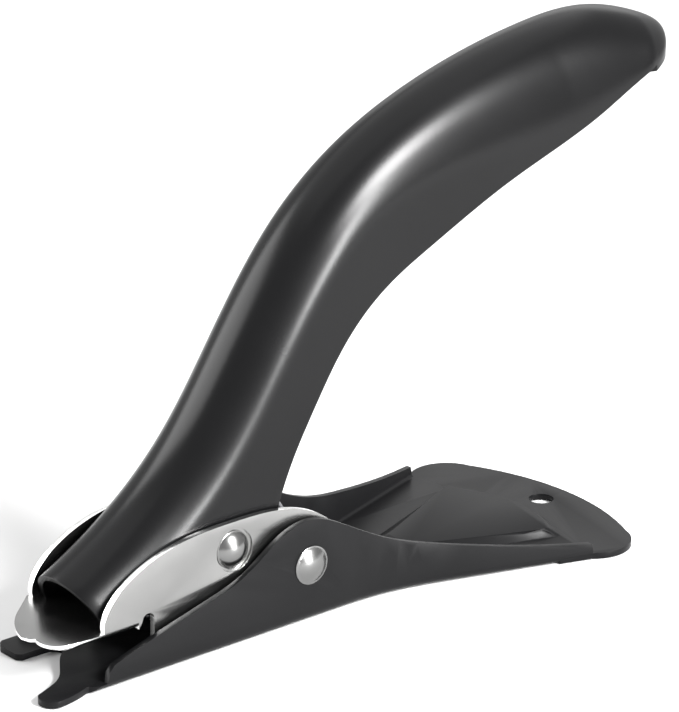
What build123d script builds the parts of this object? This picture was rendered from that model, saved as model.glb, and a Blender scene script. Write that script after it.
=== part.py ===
from build123d import *
import os
import math

# ---------------------------------------------------------------------------
# Heavy-duty staple remover: a pressed-steel base with a palm plate, a plated
# jaw that lifts the staple, and a long squeeze handle riveted to the jaw.
# Millimetres. X runs from the jaw (-) to the palm plate (+), Y across, Z up.
# The drawing origin is on the pivot line in X, on the centre plane in Y, and on
# the underside of the base in Z. The finished parts are then moved by SHIFT_X,
# which puts the origin under the middle of the tool.
# ---------------------------------------------------------------------------

SHEET = 1.2                 # sheet thickness of base, jaw and handle

# base
BASE_HALF = 13.7            # half width over the front walls
WALL_FRONT_X = -46.0        # front end of the side walls
WALL_REAR_X = 59.3          # rear end of the side walls
WALL_TOP_Z = 19.9           # top of the hump round the pivot
FLARE_X = 15.0              # where the walls start to spread
BEND_R = 1.9                # outer radius of the wall bend
PALM_REAR_X = 78.0          # rear edge of the palm plate
HOLE_X, HOLE_R = 71.4, 2.5  # hang hole
MOUTH_IN = 6.2              # far edge of the mouth between the toes
TOE_X = -59.1               # tip of the long toe
SHORT_TOE_X = -51.4         # tip of the short toe, and front end of the floor
PANEL_RISE = 1.5            # height of the stiffening panel

# jaw
JAW_HALF = 11.4             # half width over the cheeks
JAW_FLOOR_Z = 8.4           # underside of the jaw floor
JAW_TIP_X = -57.0
NOTCH_X, NOTCH_W, NOTCH_Z = -35.6, 2.6, 10.9
JAW_BEND_R = 1.7

SHIFT_X = -20.7             # from the pivot line to the middle of the tool

# pivots
PIVOT_Z = 11.1              # pivot line, at X = 0
PIVOT_R = 2.5               # pivot shank
PIVOT_HEAD_R, PIVOT_HEAD_H = 3.75, 1.35
JAW_RIVET = (-16.0, 17.6)   # X, Z of the rivet through jaw and handle
JAW_RIVET_R = 2.4
JAW_HEAD_R, JAW_HEAD_H = 3.6, 1.95
SEAT_R, SEAT_DEEP = 4.1, 0.7  # round seat sunk in each cheek for the jaw rivet's head
FIT = 0.06                  # running clearance on a radius

# handle
HANDLE_HALF = 9.7           # half width at the jaw
TAIL_HALF = 12.2            # half width at the spoon-shaped tail
TAIL_X = 99.6               # end of the tail

# spring and sleeve
SLEEVE_R = 3.7
WIRE_R = 0.8
COIL_R = 4.9
COILS = 4.375               # ends point forward along the floor and up the handle


def loop(*edges):
    """Closed face from edges drawn in the XY plane."""
    return make_face(Curve() + list(edges))


def side_face(*edges):
    """Closed face from edges drawn in X and Z, lying in the plane Y = 0."""
    return Plane.XZ * make_face(Curve() + list(edges))


def slab(face, half):
    """Solid made by giving a side face the same thickness on both sides of Y = 0."""
    return extrude(face, half, both=True)


def box(x0, x1, y0, y1, z0, z1):
    return Pos((x0 + x1) / 2, (y0 + y1) / 2, (z0 + z1) / 2) * Box(x1 - x0, y1 - y0, z1 - z0)


def cyl_y(x, z, radius, y0, y1):
    """Cylinder along Y between two Y values."""
    length = y1 - y0
    return Pos(x, (y0 + y1) / 2, z) * Rot(90, 0, 0) * Cylinder(radius, length)


def dome_y(x, z, radius, height, y, direction):
    """Low domed rivet head whose flat face is at y, bulging along +Y or -Y."""
    ball = (radius ** 2 + height ** 2) / (2 * height)
    centre = y + direction * (height - ball)
    rim = 0.25
    head = Pos(x, centre, z) * Sphere(ball)
    keep = cyl_y(x, z, radius, *sorted((y, y + direction * (height + 1))))
    return (head & keep) + cyl_y(x, z, radius, *sorted((y, y + direction * rim)))


# ---------------------------------------------------------------------------
# base
# ---------------------------------------------------------------------------

def plan_half(inset):
    """Points of one flank of the base, from the front to the palm plate's corner."""
    y = BASE_HALF - inset
    return [(SHORT_TOE_X, y), (FLARE_X - 5, y), (34, 18.3 - inset), (WALL_REAR_X, 26.6 - inset)]


def base_plan(inset, rear_x):
    """Plan of the walled trough, cut square at rear_x."""
    a, b, c, d = plan_half(inset)
    slope = (d[1] - c[1]) / (d[0] - c[0])
    end = (rear_x, d[1] + slope * (rear_x - d[0]))
    up = [Line(a, b), Spline([b, (FLARE_X + 8, BASE_HALF - inset + 1.35), c],
                             tangents=[(1, 0), (1, slope)]), Line(c, end)]
    down = [mirror(e, Plane.XZ) for e in up]
    return loop(*up, *down, Line(a, (a[0], -a[1])), Line(end, (end[0], -end[1])))


def plate_plan():
    """Plan of the whole palm plate with its rounded rear outline."""
    front = (20, 13.0)
    corner = (WALL_REAR_X + 0.6, 26.4)
    turn = (72.6, 22.6)
    far = [Line(front, corner), ThreePointArc(corner, (66.0, 28.3), turn)]
    near = [mirror(e, Plane.XZ) for e in far]
    rear = ThreePointArc(turn, (PALM_REAR_X, 0), (turn[0], -turn[1]))
    return loop(*far, *near, rear, Line(front, (front[0], -front[1])))


def wall_profile():
    """Side view of everything the base may fill, wall top included."""
    top = Spline([(-44.9, 4.4), (-35.7, 7.2), (-21.6, 10.9), (-15.6, 13.0), (-6.6, 18.5),
                  (0.3, WALL_TOP_Z), (7.5, 17.2), (18.7, 11.4), (34.7, 7.0), (49.4, 4.4),
                  (WALL_REAR_X, 3.3)])
    rear = 90
    front = WALL_FRONT_X
    return side_face(Line((SHORT_TOE_X, -1), (SHORT_TOE_X, SHEET)),
                     Line((SHORT_TOE_X, SHEET), (front - 0.3, SHEET)),
                     Line((front - 0.3, SHEET), (front, 3.2)),
                     Line((front, 3.2), (-44.9, 4.4)), top,
                     Line((WALL_REAR_X, 3.3), (WALL_REAR_X + 0.4, SHEET)),
                     Line((WALL_REAR_X + 0.4, SHEET), (rear, SHEET)),
                     Line((rear, SHEET), (rear, -1)), Line((rear, -1), (SHORT_TOE_X, -1)))


def panel(z):
    """Raised stiffening panel of the palm plate, drawn from height z upward."""
    def outline(inset, height):
        corner = (61.0 - inset, 16.4 - inset)
        start = (30.0 + 2 * inset, 5.0 - inset)
        rear = (65.6 - inset, 0)
        flank = Line(start, corner)
        bow = ThreePointArc(corner, rear, (corner[0], -corner[1]))
        front = Line(start, (start[0], -start[1]))
        return Pos(0, 0, height) * loop(flank, bow, mirror(flank, Plane.XZ), front)
    block = loft([outline(0, z), outline(PANEL_RISE * 1.2, z + PANEL_RISE)], ruled=True)
    upright = [e for e in block.edges() if e.bounding_box().size.Z > PANEL_RISE * 0.9]
    return fillet(upright, 1.6)


def long_toe():
    """Plan of the long toe: a hooked tongue of the floor that ends in a round tip."""
    rear, side = -43.9, -12.2
    mouth_end = (-44.5, 2.5)
    inner = [mouth_end, (-48.8, -2.7), (-52.1, -6.4), (-54.5, -7.7), (-58.2, -9.2)]
    tip, heel = (-57.0, -13.8), (-50.0, side)
    return loop(Spline(inner), ThreePointArc(inner[-1], (TOE_X, -11.3), tip),
                Spline([tip, (-53.0, -13.2), heel]), Line(heel, (rear, side)),
                Line((rear, side), (rear, mouth_end[1])), Line((rear, mouth_end[1]), mouth_end))


def corner_cut(a, via, b, out):
    """Block that rounds a corner of the floor: everything beyond the arc a, via, b."""
    face = loop(ThreePointArc(a, via, b), Line(b, (b[0], out[1])), Line((b[0], out[1]), out),
                Line(out, (out[0], a[1])), Line((out[0], a[1]), a))
    return Pos(0, 0, -1) * extrude(face, 3)


def mouth():
    """Block that cuts the mouth between the toes out of the floor."""
    back, near, front = -45.2, -10.6, -62.0
    return Pos(0, 0, -1) * extrude(
        loop(Line((front, MOUTH_IN), (back, MOUTH_IN)),
             ThreePointArc((back, MOUTH_IN), (-43.4, 4.5), (-44.5, 2.5)),
             Line((-44.5, 2.5), (-44.5, near)), Line((-44.5, near), (front, near)),
             Line((front, near), (front, MOUTH_IN))), 4)


def base_frame():
    trough = extrude(base_plan(0, WALL_REAR_X + 3), WALL_TOP_Z + 1)
    flank = [e for e in trough.edges().group_by(Axis.Z)[0]
             if abs(e.center().Y) > 5]
    trough = fillet(flank, BEND_R)
    hollow = Pos(0, 0, SHEET) * extrude(base_plan(SHEET, WALL_REAR_X + 9), WALL_TOP_Z + 5)
    flank = [e for e in hollow.edges().group_by(Axis.Z)[0]
             if abs(e.center().Y) > 5]
    hollow = fillet(flank, BEND_R - SHEET)
    hollow += Pos(-5, 0, SHEET) * box(WALL_FRONT_X - 5, WALL_FRONT_X + 6, -(BASE_HALF - SHEET),
                                      BASE_HALF - SHEET, 0, 30)
    shell = (trough - hollow) & slab(wall_profile(), 40)
    plate = extrude(plate_plan(), SHEET) & box(WALL_REAR_X - 6, 90, -40, 40, -1, 5)
    base = shell + plate
    # raised panel, hollow underneath
    base = base + panel(SHEET) - panel(0)
    base = base - Pos(HOLE_X, 0, 0) * Cylinder(HOLE_R, 6)
    # mouth between the toes, the rounded corners of the floor, and the long toe
    base = base - mouth()
    base = base - corner_cut((-51.5, 10.9), (-50.7, 12.9), (-48.6, 13.9), (-60, 20))
    base = base - corner_cut((-51.5, 7.6), (-51.0, 6.6), (-49.9, 6.0), (-60, 4))
    base = base - corner_cut((-49.9, -10.5), (-49.2, -12.6), (-47.0, -13.9), (-60, -20))
    base = base + extrude(long_toe(), SHEET)
    base = base - cyl_y(0, PIVOT_Z, PIVOT_R, -40, 40)
    return base


# ---------------------------------------------------------------------------
# jaw
# ---------------------------------------------------------------------------

def cheek_outline():
    arc = Spline([(-45.3, 10.2), (-44.9, 12.4), (-43.3, 14.9), (-38.6, 18.6), (-29.8, 21.9),
                  (-15.1, 23.1), (-6.0, 22.7), (1.0, 20.9), (6.6, 17.4)])
    rear = ThreePointArc((6.6, 17.4), (8.9, 9.6), (0, 2.3))
    low = Line((0, 2.3), (NOTCH_X + NOTCH_W / 2 + 3, 2.3))
    left = NOTCH_X - NOTCH_W / 2
    right = NOTCH_X + NOTCH_W / 2
    corner = ThreePointArc((right + 3, 2.3), (right + 0.9, 3.2), (right, 5.3))
    up = Line((right, 5.3), (right, NOTCH_Z - 1.3))
    over = ThreePointArc((right, NOTCH_Z - 1.3), (NOTCH_X, NOTCH_Z), (left, NOTCH_Z - 1.3))
    down = Line((left, NOTCH_Z - 1.3), (left - 0.8, JAW_FLOOR_Z))
    floor = Line((left - 0.8, JAW_FLOOR_Z), (-44.9, JAW_FLOOR_Z))
    nose = Line((-44.9, JAW_FLOOR_Z), (-45.3, 10.2))
    return side_face(arc, rear, low, corner, up, over, down, floor, nose)


def tongue_plan():
    """Plan of the jaw floor with its slanted tongue and the small step beside the tip."""
    back = NOTCH_X - NOTCH_W / 2 - 0.8
    tip = (JAW_TIP_X, -2.9)
    far = [Line((back, JAW_HALF), (-45.6, JAW_HALF)),
           Spline([(-45.6, JAW_HALF), (-48.0, 9.2), (-53.0, 4.6), (-56.0, 0), tip])]
    step = [Line(tip, (-56.4, -4.6)), Line((-56.4, -4.6), (-55.5, -5.0))]
    near = [Spline([(-55.5, -5.0), (-55.9, -7.3), (-54.7, -9.7), (-51.6, -11.0),
                    (-47.0, -JAW_HALF)]),
            Line((-47.0, -JAW_HALF), (back, -JAW_HALF))]
    return loop(*far, *step, *near, Line((back, -JAW_HALF), (back, JAW_HALF)))


def lifting_jaw():
    cheeks = slab(cheek_outline(), JAW_HALF)
    inside = box(-70, 30, -JAW_HALF + SHEET, JAW_HALF - SHEET, JAW_FLOOR_Z + SHEET, 40)
    inside += box(NOTCH_X - NOTCH_W / 2 - 0.8, 30, -JAW_HALF + SHEET, JAW_HALF - SHEET, -5, 40)
    cheeks = cheeks - inside
    tongue = Pos(0, 0, JAW_FLOOR_Z) * extrude(tongue_plan(), SHEET)
    # the tip is ground to a wedge from below
    wedge = side_face(Line((-60, JAW_FLOOR_Z - 1), (-60, JAW_FLOOR_Z + 1.15)),
                      Line((-60, JAW_FLOOR_Z + 1.15), (-51, JAW_FLOOR_Z)),
                      Line((-51, JAW_FLOOR_Z), (-51, JAW_FLOOR_Z - 1)),
                      Line((-51, JAW_FLOOR_Z - 1), (-60, JAW_FLOOR_Z - 1)))
    tongue = tongue - slab(wedge, 20)
    jaw = cheeks + tongue
    # the two bends between floor and cheeks
    back = NOTCH_X - NOTCH_W / 2 - 0.8
    trough = box(-80, back + 2, -JAW_HALF, JAW_HALF, JAW_FLOOR_Z, 40)
    edges = [e for e in trough.edges().filter_by(Axis.X) if e.center().Z < JAW_FLOOR_Z + 1]
    trough = fillet(edges, JAW_BEND_R)
    trough += box(back, 40, -JAW_HALF, JAW_HALF, -5, 40)
    jaw = jaw & trough
    jaw = jaw - cyl_y(*JAW_RIVET, JAW_RIVET_R, -20, 20)
    jaw = jaw - cyl_y(*JAW_RIVET, SEAT_R, JAW_HALF - SEAT_DEEP, 20)
    jaw = jaw - cyl_y(*JAW_RIVET, SEAT_R, -20, -JAW_HALF + SEAT_DEEP)
    return jaw - cyl_y(0, PIVOT_Z, PIVOT_R + FIT, -20, 20)


# ---------------------------------------------------------------------------
# handle
# ---------------------------------------------------------------------------

def crest_curve():
    """Top line of the handle from the open front end to the tail."""
    return Spline([(-47.5, 17.0), (-36.2, 23.6), (-21.4, 36.3), (-9.7, 52.4), (2.6, 69.2),
                   (18.8, 83.5), (39.9, 93.4), (64.1, 99.3), (82.0, 100.2), (92.6, 97.6),
                   (97.6, 95.2), (TAIL_X + 0.8, 92.6)])


def handle_blank(inset, end, stations=22):
    """Solid whose skin is the handle's skin moved inward by inset, up to a share of the crest."""
    crest = crest_curve()
    faces = []
    for i in range(stations):
        # stations crowd together towards the tail
        t = i / (stations - 1)
        u = end * (t + 0.35 * t * (1 - t) * smooth(2 * t))
        point = crest @ u
        tangent = crest % u
        half = HANDLE_HALF + (TAIL_HALF - HANDLE_HALF) * smooth((u - 0.45) / 0.4)
        # the tail closes like the end of a spoon
        close = max(0.0, (point.X - TAIL_X + TAIL_HALF) / TAIL_HALF)
        half *= math.sqrt(max(0.04, 1 - close ** 2))
        top = HANDLE_HALF * (1 - 0.65 * smooth((close - 0.2) / 0.8))
        deep = min(32.0, 4.5 + 0.62 * (TAIL_X - point.X))
        faces.append(hood_section((point.X, point.Y), (tangent.X, tangent.Y),
                                  half - inset, top - inset, deep, inset))
    return loft(faces)


def smooth(t):
    t = min(1.0, max(0.0, t))
    return t * t * (3 - 2 * t)


def hood_section(point, tangent, half, top, deep, inset):
    """Half-round hood with straight sides, square to the crest line."""
    plane = Plane(origin=(point[0], 0, point[1]), x_dir=(0, 1, 0),
                  z_dir=(tangent[0], 0, tangent[1]))
    arc = EllipticalCenterArc((0, -inset - top), half, top, start_angle=0, arc_size=180)
    sides = [Line((-half, -inset - top), (-half, -deep)), Line((-half, -deep), (half, -deep)),
             Line((half, -deep), (half, -inset - top))]
    return plane * make_face(Curve() + [arc] + sides)


def handle_profile():
    """Side view of the handle between its crest and its lower edge."""
    front = (-44.8, JAW_FLOOR_Z + SHEET + 0.02)
    heel = (-12.0, front[1])
    low = Line(front, heel)
    lower = Spline([heel, (-8.3, 12.6), (-5.6, 19.0), (-3.9, 24.0), (0.0, 32.4), (4.0, 39.1),
                    (8.3, 45.8), (13.5, 52.3), (20.9, 58.5), (31.1, 64.1), (49.8, 73.4),
                    (72.4, 82.5), (88.6, 90.0), (96.0, 92.2), (104, 94.0)])
    return side_face(low, lower, Line((104, 94.0), (104, 115)), Line((104, 115), (-70, 115)),
                     Line((-70, 115), (-70, 22)), Line((-70, 22), (-48.8, 17.6)),
                     Line((-48.8, 17.6), front))


def handle_lever():
    waste = Box(400, 80, 400) - slab(handle_profile(), 40)
    shell = (handle_blank(0, 1.0) - waste) - (handle_blank(SHEET, 0.992) - waste)
    return shell - cyl_y(*JAW_RIVET, JAW_RIVET_R, -20, 20)


# ---------------------------------------------------------------------------
# rivets, sleeve, washers, spring
# ---------------------------------------------------------------------------

def pivot_rivet():
    shank = cyl_y(0, PIVOT_Z, PIVOT_R, -BASE_HALF, BASE_HALF)
    return shank + dome_y(0, PIVOT_Z, PIVOT_HEAD_R, PIVOT_HEAD_H, -BASE_HALF, -1) \
        + dome_y(0, PIVOT_Z, PIVOT_HEAD_R, PIVOT_HEAD_H, BASE_HALF, 1)


def jaw_rivet():
    x, z = JAW_RIVET
    seat = JAW_HALF - SEAT_DEEP
    shank = cyl_y(x, z, JAW_RIVET_R, -seat, seat)
    return shank + dome_y(x, z, JAW_HEAD_R, JAW_HEAD_H, -seat, -1) \
        + dome_y(x, z, JAW_HEAD_R, JAW_HEAD_H, seat, 1)


def pivot_sleeve():
    half = JAW_HALF - SHEET - 0.15
    return cyl_y(0, PIVOT_Z, SLEEVE_R, -half, half) - cyl_y(0, PIVOT_Z, PIVOT_R + FIT, -20, 20)


def pivot_washer(side):
    inner = JAW_HALF + 0.04
    outer = BASE_HALF - SHEET - 0.04
    ring = cyl_y(0, PIVOT_Z, 5.0, inner, outer) - cyl_y(0, PIVOT_Z, PIVOT_R + FIT, -20, 20)
    return ring if side > 0 else mirror(ring, Plane.XZ)


def torsion_spring():
    """Coils round the sleeve, one leg on the base floor and one up inside the handle."""
    pitch = 2 * WIRE_R + 0.12
    length = COILS * pitch
    coil = Rot(0, 0, -90) * Helix(pitch, length, COIL_R, center=(0, 0, -length / 2))
    path = Pos(0, 0, PIVOT_Z) * Rot(90, 0, 0) * coil
    profile = Plane(origin=path @ 0, z_dir=path % 0) * Circle(WIRE_R)
    body = sweep(profile, path=path, is_frenet=True)
    a, b = path @ 0, path @ 1
    foot = Vector(-24, a.Y, SHEET + WIRE_R + 0.02)
    head = Vector(-13.4, b.Y, 40.8)
    return body + wire(a, foot) + wire(b, head)


def wire(a, b):
    """Straight round wire between two points, with a ball at each end."""
    direction = b - a
    plane = Plane(origin=a, z_dir=direction)
    return extrude(plane * Circle(WIRE_R), direction.length) \
        + Pos(*tuple(a)) * Sphere(WIRE_R) + Pos(*tuple(b)) * Sphere(WIRE_R)


parts = {
    "base_frame": base_frame(),
    "handle_lever": handle_lever(),
    "lifting_jaw": lifting_jaw(),
    "pivot_rivet": pivot_rivet(),
    "jaw_rivet": jaw_rivet(),
    "pivot_sleeve": pivot_sleeve(),
    "pivot_washer_near": pivot_washer(-1),
    "pivot_washer_far": pivot_washer(1),
    "torsion_spring": torsion_spring(),
}

os.makedirs("parts", exist_ok=True)
for name, part in parts.items():
    part = Pos(SHIFT_X, 0, 0) * part
    export_step(part, "parts/" + name + ".step")
    size = part.bounding_box().size
    print(name, len(part.solids()), round(part.volume, 1),
          round(size.X, 1), round(size.Y, 1), round(size.Z, 1))
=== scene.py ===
import bpy
import bmesh
import math
import numpy as np
from mathutils import Matrix, Vector


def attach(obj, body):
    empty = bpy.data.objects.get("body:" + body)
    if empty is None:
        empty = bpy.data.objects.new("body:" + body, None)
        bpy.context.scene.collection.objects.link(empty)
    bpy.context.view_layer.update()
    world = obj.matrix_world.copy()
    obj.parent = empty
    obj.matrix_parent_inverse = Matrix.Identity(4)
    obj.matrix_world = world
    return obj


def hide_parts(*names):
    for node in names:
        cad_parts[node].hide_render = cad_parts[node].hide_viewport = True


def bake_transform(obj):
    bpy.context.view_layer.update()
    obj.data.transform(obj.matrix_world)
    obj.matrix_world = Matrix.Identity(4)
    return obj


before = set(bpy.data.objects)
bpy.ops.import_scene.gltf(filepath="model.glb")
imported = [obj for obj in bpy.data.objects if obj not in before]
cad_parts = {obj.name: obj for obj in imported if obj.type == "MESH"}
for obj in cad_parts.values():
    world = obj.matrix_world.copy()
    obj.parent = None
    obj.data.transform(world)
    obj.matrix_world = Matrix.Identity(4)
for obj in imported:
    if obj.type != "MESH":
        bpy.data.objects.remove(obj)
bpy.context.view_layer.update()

# ---------------------------------------------------------------------------
# Camera: a long lens a little above the tool, off its near front corner. It is
# placed by its turn from the front, its rise, its small roll and its distance.
# ---------------------------------------------------------------------------
AIM = Vector((-0.00233, 0.0, 0.04354))
TURN, RISE, ROLL = math.radians(-40.651), math.radians(19.693), math.radians(0.206)
AWAY = 0.6253
lens = bpy.data.cameras.new("studio_camera")
lens.lens = 170.7
lens.sensor_width = 36.0
lens.clip_start, lens.clip_end = 0.01, 20.0
camera = bpy.data.objects.new("studio_camera", lens)
camera.matrix_world = Matrix.Translation(AIM) @ Matrix.Rotation(TURN, 4, "Z") @ \
    Matrix.Rotation(math.pi / 2 - RISE, 4, "X") @ Matrix.Translation((0, 0, AWAY)) @ \
    Matrix.Rotation(ROLL, 4, "Z")
bpy.context.scene.collection.objects.link(camera)
bpy.context.scene.camera = camera

# ---------------------------------------------------------------------------
# Studio: a pale floor and surround, a broad box overhead, and smaller boxes at
# the near side, behind to the left and behind to the right, which the black
# paint and the bright jaw mirror as soft highlights.
# ---------------------------------------------------------------------------
REACH, BELOW = 3.0, -0.0002
floor_mesh = bpy.data.meshes.new("studio_floor")
floor_mesh.from_pydata([(-REACH, -REACH, BELOW), (REACH, -REACH, BELOW),
                        (REACH, REACH, BELOW), (-REACH, REACH, BELOW)], [], [(0, 1, 2, 3)])
floor = bpy.data.objects.new("studio_floor", floor_mesh)
bpy.context.scene.collection.objects.link(floor)
floor_look = bpy.data.materials.new("studio_floor")
floor_look.use_nodes = True
floor_shader = floor_look.node_tree.nodes["Principled BSDF"]
floor_shader.inputs["Base Color"].default_value = (0.5, 0.5, 0.5, 1)
floor_shader.inputs["Roughness"].default_value = 0.9
floor_mesh.materials.append(floor_look)

surround = bpy.data.worlds.new("studio_surround")
surround.use_nodes = True
sky = surround.node_tree.nodes["Background"]
sky.inputs["Color"].default_value = (1.0, 1.0, 1.0, 1)
sky.inputs["Strength"].default_value = 0.7
bpy.context.scene.world = surround
bpy.context.scene.view_settings.view_transform = "Standard"


def soft_box(name, way, far, width, height, power):
    """Rectangular soft box in the direction way from the tool, far metres off, facing it."""
    aim = Vector((0.0, 0.0, 0.05))
    place = aim + Vector(way).normalized() * far
    lamp = bpy.data.lights.new(name, "AREA")
    lamp.shape = "RECTANGLE"
    lamp.size, lamp.size_y = width, height
    lamp.energy = power
    holder = bpy.data.objects.new(name, lamp)
    holder.matrix_world = Matrix.Translation(place) @ \
        (aim - place).to_track_quat("-Z", "Y").to_matrix().to_4x4()
    bpy.context.scene.collection.objects.link(holder)


soft_box("overhead_box", (0.1, 0.3, 1.0), 1.5, 2.0, 2.0, 13.0)
soft_box("near_strip", (0.16, -0.95, 0.24), 1.0, 0.11, 0.55, 22.0)
soft_box("near_box", (0.15, -0.81, 0.62), 1.1, 0.34, 0.26, 34.0)
soft_box("left_box", (-0.75, 0.75, 0.42), 1.3, 1.1, 0.9, 24.0)
soft_box("back_box", (0.62, 0.70, 0.36), 1.5, 1.0, 0.5, 1.2)

# ---------------------------------------------------------------------------
# Handle lever: a long squeeze handle, pressed from 1.2 mm steel sheet into a
# half-round hood, open below, and finished in semi-gloss black paint. The tail
# is spoon shaped, and the front end stands on the floor of the jaw.
# ---------------------------------------------------------------------------
MM = 0.001
MIDDLE = -20.7          # X of the pivot line in the part's frame
SHEET = 1.2
# All in millimetres on a side view: X from the pivot line, Z from the underside.
CREST = ((-47.5, 17.0), (-36.2, 23.6), (-21.4, 36.3), (-9.7, 52.4), (2.6, 69.2), (18.8, 83.5),
         (39.9, 93.4), (64.1, 99.3), (82.0, 100.2), (92.6, 97.6), (97.6, 95.2), (100.4, 92.6))
LOWER_EDGE = ((-12.0, 9.62), (-8.3, 12.6), (-5.6, 19.0), (-3.9, 24.0), (0.0, 32.4), (4.0, 39.1),
              (8.3, 45.8), (13.5, 52.3), (20.9, 58.5), (31.1, 64.1), (49.8, 73.4), (72.4, 82.5),
              (88.6, 90.0), (96.0, 92.2), (104.0, 94.0))
FOOT_FRONT = (-44.8, 9.62)         # front end of the edge that stands on the jaw's floor
NECK_HALF, TAIL_HALF = 9.7, 12.2   # half widths
TAIL_END = 99.6
DOME_TOP = 19.0                    # height of the arch over its widest line at the tail
WIDEN_FROM, WIDEN_OVER = 0.45, 0.4     # share of the crest where the width grows
SWELL_FROM, SWELL_OVER = 0.42, 0.35    # share of the crest where the arch grows taller
TIP_NARROW = 0.2                   # width left at the tip, as a share
TIP_FLATTEN = 0.45                 # height lost at the tip, as a share
CREST_SAMPLES = 400
TIP_DEEPEST = 20.0                 # a deeper cut than this has missed the lower edge


def smooth(t):
    t = min(1.0, max(0.0, t))
    return t * t * (3 - 2 * t)


def fair_curve(points, count):
    """Evenly spaced points and directions on the natural cubic spline through points."""
    p = np.array(points, float)
    s = np.concatenate(([0.0], np.cumsum(np.hypot(*np.diff(p, axis=0).T))))
    h = np.diff(s)
    n = len(p)
    a, b = np.eye(n), np.zeros((n, 2))
    for i in range(1, n - 1):
        a[i, i - 1:i + 2] = h[i - 1], 2 * (h[i - 1] + h[i]), h[i]
        b[i] = 6 * ((p[i + 1] - p[i]) / h[i] - (p[i] - p[i - 1]) / h[i - 1])
    m = np.linalg.solve(a, b)
    t = np.linspace(0, s[-1], count)
    k = np.clip(np.searchsorted(s, t, side="right") - 1, 0, n - 2)
    u, v = (t - s[k])[:, None], (s[k + 1] - t)[:, None]
    hk = h[k][:, None]
    place = (m[k] * v ** 3 + m[k + 1] * u ** 3) / (6 * hk) \
        + (p[k] / hk - m[k] * hk / 6) * v + (p[k + 1] / hk - m[k + 1] * hk / 6) * u
    way = (-m[k] * v ** 2 + m[k + 1] * u ** 2) / (2 * hk) \
        - (p[k] / hk - m[k] * hk / 6) + (p[k + 1] / hk - m[k + 1] * hk / 6)
    return place, way / np.linalg.norm(way, axis=1)[:, None]


def depth_to(point, normal, line):
    """Distance from point along -normal to the first crossing with a polyline."""
    best = 60.0
    for a, b in zip(line[:-1], line[1:]):
        e = b - a
        det = normal[0] * e[1] - normal[1] * e[0]
        if abs(det) < 1e-9:
            continue
        w = point - a
        s = (normal[0] * w[1] - normal[1] * w[0]) / det
        if 0 <= s <= 1:
            t = (w[0] * e[1] - w[1] * e[0]) / det
            if -0.5 < t < best:
                best = t
    return best


def piece(name, vertices, faces):
    """Mesh object from points in millimetres on the drawing, placed in the part's frame."""
    mesh = bpy.data.meshes.new(name)
    mesh.from_pydata([((x + MIDDLE) * MM, y * MM, z * MM) for x, y, z in vertices], [], faces)
    made = bpy.data.objects.new(name, mesh)
    bpy.context.scene.collection.objects.link(made)
    return made


def arch(half, top, deep, side_steps, arch_steps):
    """Half ellipse with straight skirts, or only its cap where the lower edge cuts it."""
    cut_short = deep < top
    turn = math.acos(1 - deep / top) if cut_short else math.pi / 2
    rim = half * math.sin(turn)
    shares = [1 - s / side_steps for s in range(side_steps)]
    skirt = [-deep if cut_short else -(top + (deep - top) * share) for share in shares]
    angles = [-turn + 2 * turn * s / arch_steps for s in range(arch_steps + 1)]
    over = [(half * math.sin(angle), -top * (1 - math.cos(angle))) for angle in angles]
    return [(-rim, z) for z in skirt] + over + [(rim, z) for z in reversed(skirt)]


def handle_skin(rows, side_steps, arch_steps):
    """Outer skin of the handle: arches square to the crest, each cut at the lower edge."""
    crest, way = fair_curve(CREST, CREST_SAMPLES)
    edge = np.vstack(([FOOT_FRONT], fair_curve(LOWER_EDGE, CREST_SAMPLES // 2)[0]))
    span = [depth_to(c, np.array((-d[1], d[0])), edge) for c, d in zip(crest, way)]
    end = CREST_SAMPLES - 1
    last = next(k for k in range(end, 0, -1) if SHEET < span[k] < TIP_DEEPEST)
    crowding = 1.6             # rows lie closer together towards the tail
    vertices, faces = [], []
    for i in range(rows):
        k = last * (1 - (1 - i / (rows - 1)) ** crowding)
        j, f = int(k), k - int(k)
        c = crest[j] * (1 - f) + crest[j + 1] * f
        d = way[j] * (1 - f) + way[j + 1] * f
        n = np.array((-d[1], d[0]))
        deep = max(0.1, depth_to(c, n, edge))
        close = max(0.0, (c[0] - TAIL_END + TAIL_HALF) / TAIL_HALF)
        half = NECK_HALF + (TAIL_HALF - NECK_HALF) * smooth((k / end - WIDEN_FROM) / WIDEN_OVER)
        half *= math.sqrt(max(TIP_NARROW ** 2, 1 - close ** 2))
        top = NECK_HALF + (DOME_TOP - NECK_HALF) * smooth((k / end - SWELL_FROM) / SWELL_OVER)
        top = min(top, max(deep - 0.3, NECK_HALF))
        top *= 1 - TIP_FLATTEN * smooth((close - 0.2) / 0.8)
        for y, z in arch(half, top, deep, side_steps, arch_steps):
            vertices.append((c[0] + n[0] * z, y, c[1] + n[1] * z))
    columns = 2 * side_steps + arch_steps + 1
    for i in range(rows - 1):
        for s in range(columns - 1):
            a = i * columns + s
            faces.append((a, a + columns, a + columns + 1, a + 1))
    return vertices, faces


def finish_sheet(made, thickness, edge):
    """Gives a pressed skin its sheet thickness inward and breaks its edges."""
    wall = made.modifiers.new("sheet", "SOLIDIFY")
    wall.thickness = thickness * MM
    wall.offset = -1.0
    wall.use_even_offset = True
    round_over = made.modifiers.new("edge", "BEVEL")
    round_over.width = edge * MM
    round_over.segments = 3
    round_over.limit_method = "ANGLE"
    round_over.angle_limit = math.radians(40)
    for face in made.data.polygons:
        face.use_smooth = True


handle = piece("handle_shell", *handle_skin(150, 8, 40))
finish_sheet(handle, SHEET, 0.28)
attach(handle, "lever")
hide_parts("handle_lever")


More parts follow.
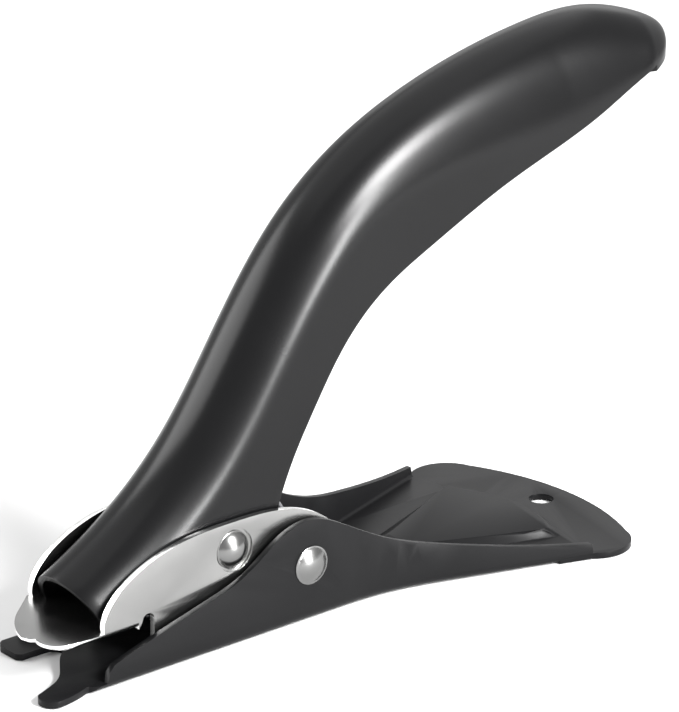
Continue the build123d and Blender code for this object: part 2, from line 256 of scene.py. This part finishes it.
def grain_group():
    """Node group that gives a finish its fine grain, uneven gloss and uneven colour."""
    group = bpy.data.node_groups.new("grain_and_gloss", "ShaderNodeTree")
    sockets = (("Place", "Vector", "INPUT"), ("Grain Scale", "Float", "INPUT"),
               ("Grain Detail", "Float", "INPUT"), ("Grain Strength", "Float", "INPUT"),
               ("Grain Depth", "Float", "INPUT"), ("Cloud Scale", "Float", "INPUT"),
               ("Cloud Detail", "Float", "INPUT"), ("Least Roughness", "Float", "INPUT"),
               ("Most Roughness", "Float", "INPUT"), ("Dark Colour", "Color", "INPUT"),
               ("Light Colour", "Color", "INPUT"), ("Colour", "Color", "OUTPUT"),
               ("Roughness", "Float", "OUTPUT"), ("Normal", "Vector", "OUTPUT"))
    for name, kind, side in sockets:
        group.interface.new_socket(name, in_out=side, socket_type="NodeSocket" + kind)
    given = group.nodes.new("NodeGroupInput")
    result = group.nodes.new("NodeGroupOutput")
    grain = group.nodes.new("ShaderNodeTexNoise")
    cloud = group.nodes.new("ShaderNodeTexNoise")
    bump = group.nodes.new("ShaderNodeBump")
    gloss = group.nodes.new("ShaderNodeMapRange")
    tint = group.nodes.new("ShaderNodeMix")
    tint.data_type = "RGBA"
    for noise, word in ((grain, "Grain"), (cloud, "Cloud")):
        group.links.new(given.outputs["Place"], noise.inputs["Vector"])
        group.links.new(given.outputs[word + " Scale"], noise.inputs["Scale"])
        group.links.new(given.outputs[word + " Detail"], noise.inputs["Detail"])
    group.links.new(grain.outputs["Fac"], bump.inputs["Height"])
    group.links.new(given.outputs["Grain Strength"], bump.inputs["Strength"])
    group.links.new(given.outputs["Grain Depth"], bump.inputs["Distance"])
    group.links.new(bump.outputs["Normal"], result.inputs["Normal"])
    group.links.new(cloud.outputs["Fac"], gloss.inputs["Value"])
    group.links.new(given.outputs["Least Roughness"], gloss.inputs["To Min"])
    group.links.new(given.outputs["Most Roughness"], gloss.inputs["To Max"])
    group.links.new(gloss.outputs["Result"], result.inputs["Roughness"])
    group.links.new(cloud.outputs["Fac"], tint.inputs["Factor"])
    group.links.new(given.outputs["Dark Colour"], tint.inputs["A"])
    group.links.new(given.outputs["Light Colour"], tint.inputs["B"])
    group.links.new(tint.outputs["Result"], result.inputs["Colour"])
    return group


GRAIN = grain_group()


def grained(name, colour, spread, roughness, swing, grain, cloud):
    """Material whose colour, gloss and normal come from the grain group. spread is how far
    the colour goes down and up, grain is (scale, detail, strength, depth in metres), and
    cloud is (scale, detail)."""
    made = bpy.data.materials.new(name)
    made.use_nodes = True
    tree = made.node_tree
    where = tree.nodes.new("ShaderNodeTexCoord")
    group = tree.nodes.new("ShaderNodeGroup")
    group.node_tree = GRAIN
    tree.links.new(where.outputs["Object"], group.inputs["Place"])
    named = zip(("Grain Scale", "Grain Detail", "Grain Strength", "Grain Depth"), grain)
    for socket, value in (*named, ("Cloud Scale", cloud[0]), ("Cloud Detail", cloud[1]),
                          ("Least Roughness", roughness - swing),
                          ("Most Roughness", roughness + swing),
                          ("Dark Colour", tuple(spread[0] * c for c in colour) + (1,)),
                          ("Light Colour", tuple(spread[1] * c for c in colour) + (1,))):
        group.inputs[socket].default_value = value
    shader = tree.nodes["Principled BSDF"]
    tree.links.new(group.outputs["Colour"], shader.inputs["Base Color"])
    tree.links.new(group.outputs["Roughness"], shader.inputs["Roughness"])
    tree.links.new(group.outputs["Normal"], shader.inputs["Normal"])
    return made, shader


def paint(name, colour, roughness, grain, shine):
    """Black paint with a faint orange-peel surface and slightly uneven gloss."""
    made, shader = grained(name, colour, (0.85, 1.15), roughness, 0.03,
                           (1500.0, 3.0, grain, 0.00006), (60.0, 4.0))
    shader.inputs["Specular IOR Level"].default_value = shine
    return made


handle.data.materials.append(paint("handle_paint", (0.0025, 0.0025, 0.0027), 0.26, 0.08, 0.17))

# ---------------------------------------------------------------------------
# Base: trough, side walls, toes and palm plate in one pressing of 1.2 mm steel
# sheet, with a raised panel in the plate, finished in satin black paint.
# ---------------------------------------------------------------------------


def refined(name, part, edge, segments):
    """Copy of a CAD node with its doubles merged and its sharp edges broken."""
    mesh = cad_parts[part].data.copy()
    mesh.name = name
    made = bpy.data.objects.new(name, mesh)
    bpy.context.scene.collection.objects.link(made)
    mesh.materials.clear()
    work = bmesh.new()
    work.from_mesh(mesh)
    bmesh.ops.remove_doubles(work, verts=work.verts, dist=2e-6)
    bmesh.ops.dissolve_limit(work, angle_limit=math.radians(0.6), verts=work.verts,
                             edges=work.edges)
    work.to_mesh(mesh)
    work.free()
    for face in mesh.polygons:
        face.use_smooth = True
    round_over = made.modifiers.new("edge", "BEVEL")
    round_over.width = edge * MM
    round_over.segments = segments
    round_over.limit_method = "ANGLE"
    round_over.angle_limit = math.radians(38)
    round_over.harden_normals = True
    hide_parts(part)
    return made


base = refined("base_pressing", "base_frame", 0.2, 3)
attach(base, "base")
base.data.materials.append(paint("base_paint", (0.004, 0.004, 0.0043), 0.36, 0.12, 0.12))

# ---------------------------------------------------------------------------
# Lifting jaw: tongue, floor and two cheeks in one pressing, bright plated. Its
# sheet edges get a much brighter metal, a painted highlight where they catch the light. It is
# riveted to the handle.
# ---------------------------------------------------------------------------


def bright_metal(name, colour, roughness, streak):
    """Plated or plain bright metal with a soft mottle in its gloss and colour."""
    made, shader = grained(name, colour, (0.92, 1.05), roughness, 0.05,
                           (180.0, 5.0, streak, 0.00005), (180.0, 5.0))
    shader.inputs["Metallic"].default_value = 1.0
    return made


jaw = refined("jaw_pressing", "lifting_jaw", 0.35, 4)
TONGUE_FROM, FLOOR_ABOVE = -0.066, 0.009     # metres in the part's frame
# Faces standing off the flats, above the floor, get the second material: a painted highlight
# along the sheet edges.
for face in jaw.data.polygons:
    on_tongue = face.center.x < TONGUE_FROM
    off_flat = abs(face.normal.z if on_tongue else face.normal.y)
    if off_flat < 0.5 and face.center.z > FLOOR_ABOVE:
        face.material_index = 1
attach(jaw, "lever")
jaw.data.materials.append(bright_metal("jaw_plate", (0.27, 0.27, 0.267), 0.24, 0.03))
# Second jaw material, far brighter than the plate: painted highlight on the sheet edges, not a
# different finish.
jaw.data.materials.append(bright_metal("jaw_edge_highlight", (0.92, 0.92, 0.91), 0.18, 0.03))

# ---------------------------------------------------------------------------
# Rivets: two domed steel rivets, cold headed. The rear one is the pivot and is
# fixed in the base walls, the front one holds the handle in the jaw's cheeks.
# ---------------------------------------------------------------------------
rivet_steel = bright_metal("rivet_steel", (0.2, 0.2, 0.198), 0.25, 0.16)
for part, body in (("pivot_rivet", "base"), ("jaw_rivet", "lever")):
    rivet = refined(part + "_headed", part, 0.12, 3)
    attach(rivet, body)
    rivet.data.materials.append(rivet_steel)

# ---------------------------------------------------------------------------
# Sleeve and washers: a turned steel sleeve on the pivot between the cheeks, and
# one flat washer on each side between cheek and wall, all zinc plated.
# ---------------------------------------------------------------------------
zinc = bright_metal("zinc_steel", (0.42, 0.43, 0.45), 0.36, 0.2)
for part in ("pivot_sleeve", "pivot_washer_near", "pivot_washer_far"):
    turned = refined(part + "_turned", part, 0.1, 2)
    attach(turned, "base")
    turned.data.materials.append(zinc)

# ---------------------------------------------------------------------------
# Torsion spring: 1.6 mm spring wire wound over the sleeve. One leg lies on the
# base floor, the other stands up inside the handle; the wire stays in place and is joined to no
# body.
# ---------------------------------------------------------------------------
spring = refined("spring_wire", "torsion_spring", 0.02, 1)
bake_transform(spring)
spring.data.materials.append(bright_metal("spring_steel", (0.2, 0.2, 0.21), 0.34, 0.2))
